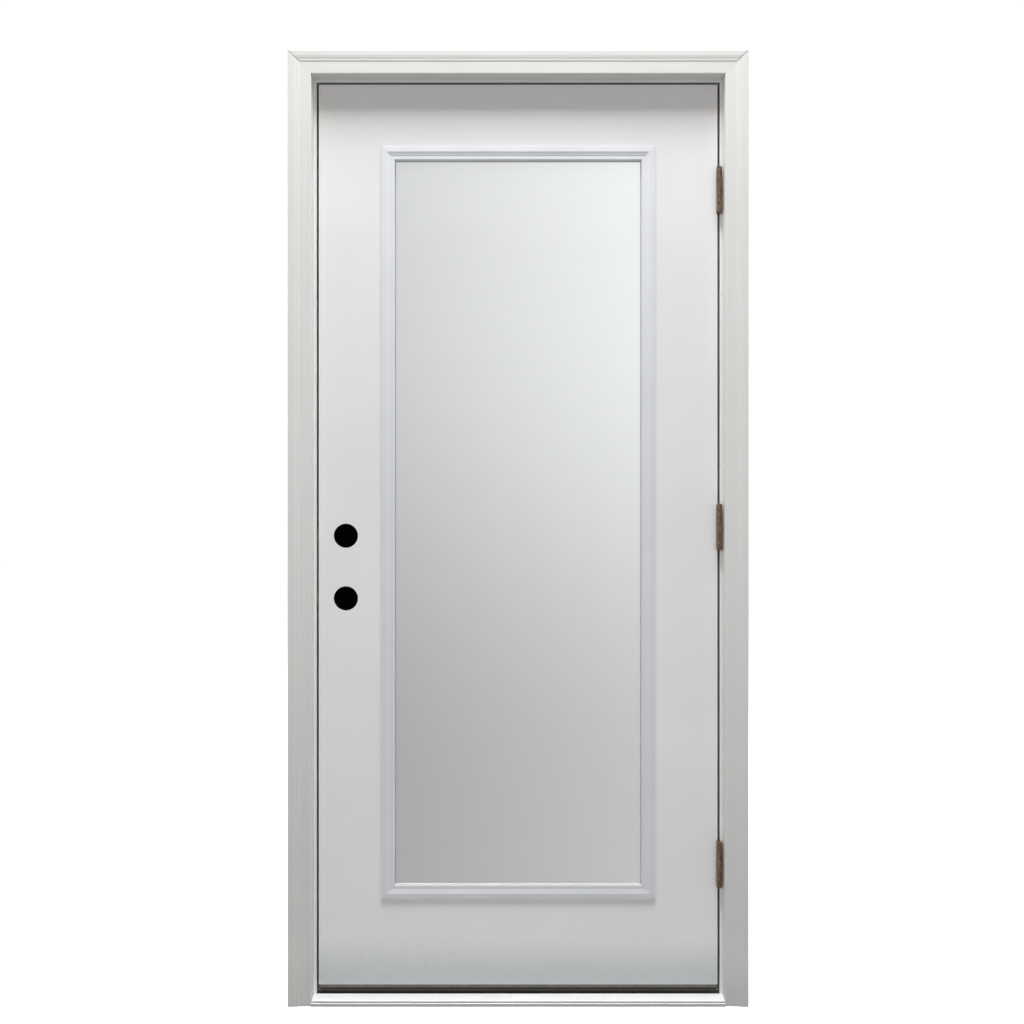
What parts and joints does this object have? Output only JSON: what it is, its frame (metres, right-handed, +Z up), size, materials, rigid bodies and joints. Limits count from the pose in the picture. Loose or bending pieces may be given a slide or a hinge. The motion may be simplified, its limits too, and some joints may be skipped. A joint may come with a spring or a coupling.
{
  "type": "pre-hung steel exterior door",
  "caption": "White insulated steel exterior door with a full-height glass light, pre-hung in a moulded wooden frame with sill, bored for a lock and deadbolt, opening outwards.",
  "frame": {"origin": "on the underside of the sill, midway between the jambs, in the plane of the wall's outer face", "axes": "+X to the right as seen from outdoors (hinge side), +Y indoors through the wall, +Z up"},
  "size_m": [1.0134, 0.1477, 2.1038],
  "materials": {
    "painted_casing": "smooth white paint on a milled moulding",
    "painted_wood": "smooth white paint",
    "bare_wood": "planed softwood",
    "painted_steel": "smooth white primer-like paint",
    "white_plastic": "white moulded plastic, low sheen",
    "composite": "wood and plastic composite, matt",
    "rigid_foam": "cut rigid foam",
    "foam_seal": "soft foam in a thin skin",
    "dark_vinyl": "flexible vinyl, matt",
    "mill_aluminium": "extruded, satin",
    "spacer_metal": "satin",
    "bronze_steel": "dark bronze plating, satin",
    "clear_glass": "clear float glass with a slight green cast"
  },
  "bodies": {
    "door_frame": {"casing_left": "painted_casing", "casing_right": "painted_casing", "casing_head": "painted_casing", "jamb_strike": "painted_wood", "jamb_hinge": "painted_wood", "jamb_head": "painted_wood", "weatherstrip_strike": "foam_seal", "weatherstrip_hinge": "foam_seal", "weatherstrip_head": "foam_seal", "sill_base": "composite", "sill_tread": "mill_aluminium", "sill_riser": "mill_aluminium", "sill_bumper": "dark_vinyl", "hinge_frame_halves": "bronze_steel", "hinge_pins": "bronze_steel"},
    "door_leaf": {"skin_outdoor": "painted_steel", "skin_indoor": "painted_steel", "stile_hinge": "bare_wood", "stile_lock": "bare_wood", "lock_block": "bare_wood", "rail_top": "bare_wood", "rail_bottom": "composite", "foam_core": "rigid_foam", "lite_frame_outdoor": "white_plastic", "lite_frame_indoor": "white_plastic", "glass_outdoor": "clear_glass", "glass_indoor": "clear_glass", "glass_spacer": "spacer_metal", "hinge_leaf_halves": "bronze_steel", "door_sweep": "dark_vinyl"}
  },
  "joints": [
    {"name": "door_swing", "type": "hinge", "parent": "door_frame", "child": "door_leaf", "pos_m": [0.44705, -0.0075, 1.055], "axis": [0, 0, 1], "range_deg": [0, 110]}
  ]
}
